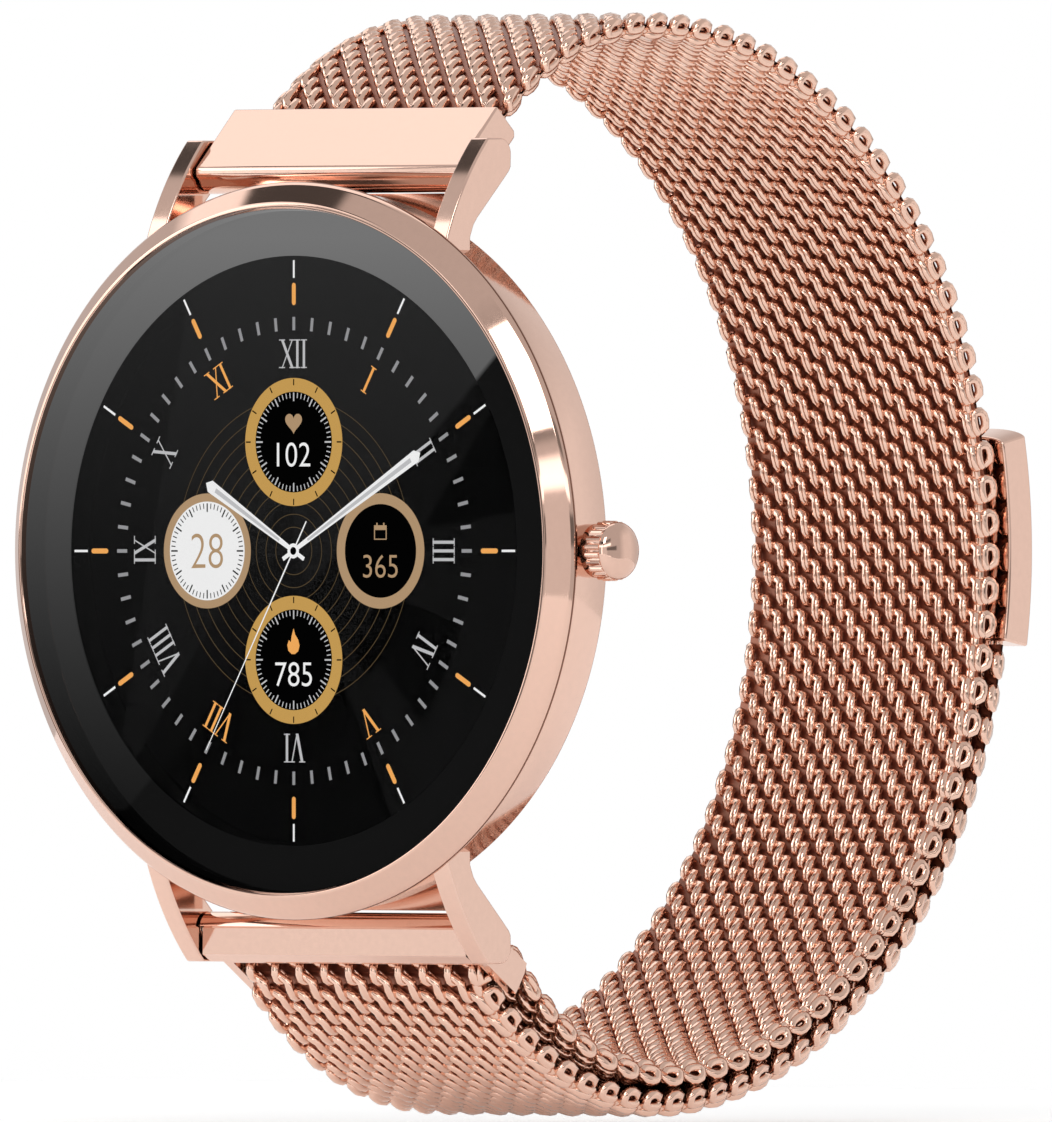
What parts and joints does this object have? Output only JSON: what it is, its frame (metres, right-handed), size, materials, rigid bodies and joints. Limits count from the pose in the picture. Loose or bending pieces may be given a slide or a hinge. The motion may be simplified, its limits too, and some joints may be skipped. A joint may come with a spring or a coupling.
{
  "type": "smartwatch",
  "caption": "Round smartwatch with a sloping bezel, a knurled push crown and an interlinked-mesh loop band closed by a magnetic clasp.",
  "frame": {"origin": "centre of the flat sensor face on the case back", "axes": "+X towards 3 o'clock and the crown, -Y the way the dial faces, +Y towards the rear of the band, +Z towards 12 o'clock"},
  "size_m": [0.0433, 0.0543, 0.0615],
  "materials": {
    "cover_glass": "clear mineral glass, polished",
    "black_print": "black ink printed under the glass",
    "clear_adhesive": "optically clear adhesive",
    "screen": "lit round display panel",
    "flex_film": "amber flexible circuit film",
    "seal_rubber": "soft black rubber",
    "rose_gold_satin": "rose-gold plated steel, fine satin",
    "rose_gold_polished": "rose-gold plated steel, polished",
    "case_back_metal": "rose-gold bead-blasted metal",
    "frame_plastic": "moulded black plastic",
    "circuit_board": "green solder mask",
    "chip_black": "moulded chip packages",
    "cell_foil": "pouch cell foil",
    "steel": "bare stainless steel",
    "gold_contact": "gold plated contact",
    "led_resin": "clear LED and photodiode resin",
    "sensor_black": "dark infrared-clear window",
    "magnet": "nickel plated magnet",
    "switch_plastic": "moulded switch body",
    "mesh_wire": "rose-gold plated round wire, interlinked coils"
  },
  "bodies": {
    "case": {"cover_glass": "cover_glass", "glass_mask": "black_print", "optical_adhesive": "clear_adhesive", "display_panel": "screen", "display_flex": "flex_film", "glass_gasket": "seal_rubber", "bezel_ring": "rose_gold_polished", "middle_case": "rose_gold_satin", "inner_frame": "frame_plastic", "main_board": "circuit_board", "board_chips": "chip_black", "battery": "cell_foil", "vibration_motor": "steel", "antenna": "gold_contact", "sensor_board": "circuit_board", "sensor_leds": "led_resin", "sensor_window": "sensor_black", "case_back": "case_back_metal", "back_gasket": "seal_rubber", "back_screws": "steel", "charge_pads": "gold_contact", "charge_magnets": "magnet", "crown_tube": "rose_gold_polished", "crown_switch": "switch_plastic", "top_bar_tube": "steel", "top_bar_tips": "steel", "bottom_bar_tube": "steel", "bottom_bar_tips": "steel", "bar_springs": "steel", "band_top_flex": "mesh_wire", "band_top": "mesh_wire", "band_upper": "mesh_wire", "band_rear_upper": "mesh_wire", "band_rear_lower": "mesh_wire", "band_lower": "mesh_wire", "band_inner": "mesh_wire", "band_inner_flex": "mesh_wire", "band_outer_flex": "mesh_wire", "band_outer_front": "mesh_wire", "band_outer": "mesh_wire"},
    "crown_sleeve": {"crown_sleeve": "steel", "crown_gasket": "seal_rubber"},
    "crown": {"crown": "rose_gold_polished", "crown_stem": "steel"},
    "top_link": {"top_link": "rose_gold_satin", "top_mesh_pin": "steel"},
    "bottom_link": {"bottom_link": "rose_gold_satin", "slot_bar": "steel", "band_fold": "mesh_wire"},
    "tail_1": {"tail_1": "mesh_wire"},
    "tail_2": {"tail_2": "mesh_wire"},
    "tail_3": {"tail_3": "mesh_wire", "clasp_shell": "rose_gold_satin", "clasp_base": "rose_gold_satin", "clasp_magnet": "magnet", "clasp_pin": "steel"}
  },
  "joints": [
    {"name": "crown_press", "type": "slide", "parent": "case", "child": "crown_sleeve", "axis": [-1, 0, 0], "range_m": [0, 0.00035], "stiffness_N_per_m": 300, "springref_m": -0.0005},
    {"name": "crown_turn", "type": "hinge", "parent": "crown_sleeve", "child": "crown", "pos_m": [0.021, -0.0056, 0], "axis": [1, 0, 0], "continuous": true},
    {"name": "top_link_swing", "type": "hinge", "parent": "case", "child": "top_link", "pos_m": [0, -0.0033, 0.02105], "axis": [1, 0, 0], "range_deg": [-8, 8], "deforming": ["band_top_flex"]},
    {"name": "bottom_link_swing", "type": "hinge", "parent": "case", "child": "bottom_link", "pos_m": [0, -0.0033, -0.02105], "axis": [1, 0, 0], "range_deg": [-8, 8], "deforming": ["band_inner_flex", "band_outer_flex"]},
    {"name": "clasp_peel", "type": "hinge", "parent": "case", "child": "tail_1", "pos_m": [0, 0.02598, -0.02825], "axis": [-1, 0, 0], "range_deg": [0, 12]},
    {"name": "tail_2_bend", "type": "hinge", "parent": "tail_1", "child": "tail_2", "pos_m": [0, 0.03449, -0.02261], "axis": [-1, 0, 0], "range_deg": [0, 12]},
    {"name": "tail_3_bend", "type": "hinge", "parent": "tail_2", "child": "tail_3", "pos_m": [0, 0.0407, -0.01452], "axis": [-1, 0, 0], "range_deg": [0, 12]}
  ],
  "couplings": [
    {"joint": "tail_2_bend", "follows": "clasp_peel", "ratio": 1},
    {"joint": "tail_3_bend", "follows": "clasp_peel", "ratio": 1}
  ]
}
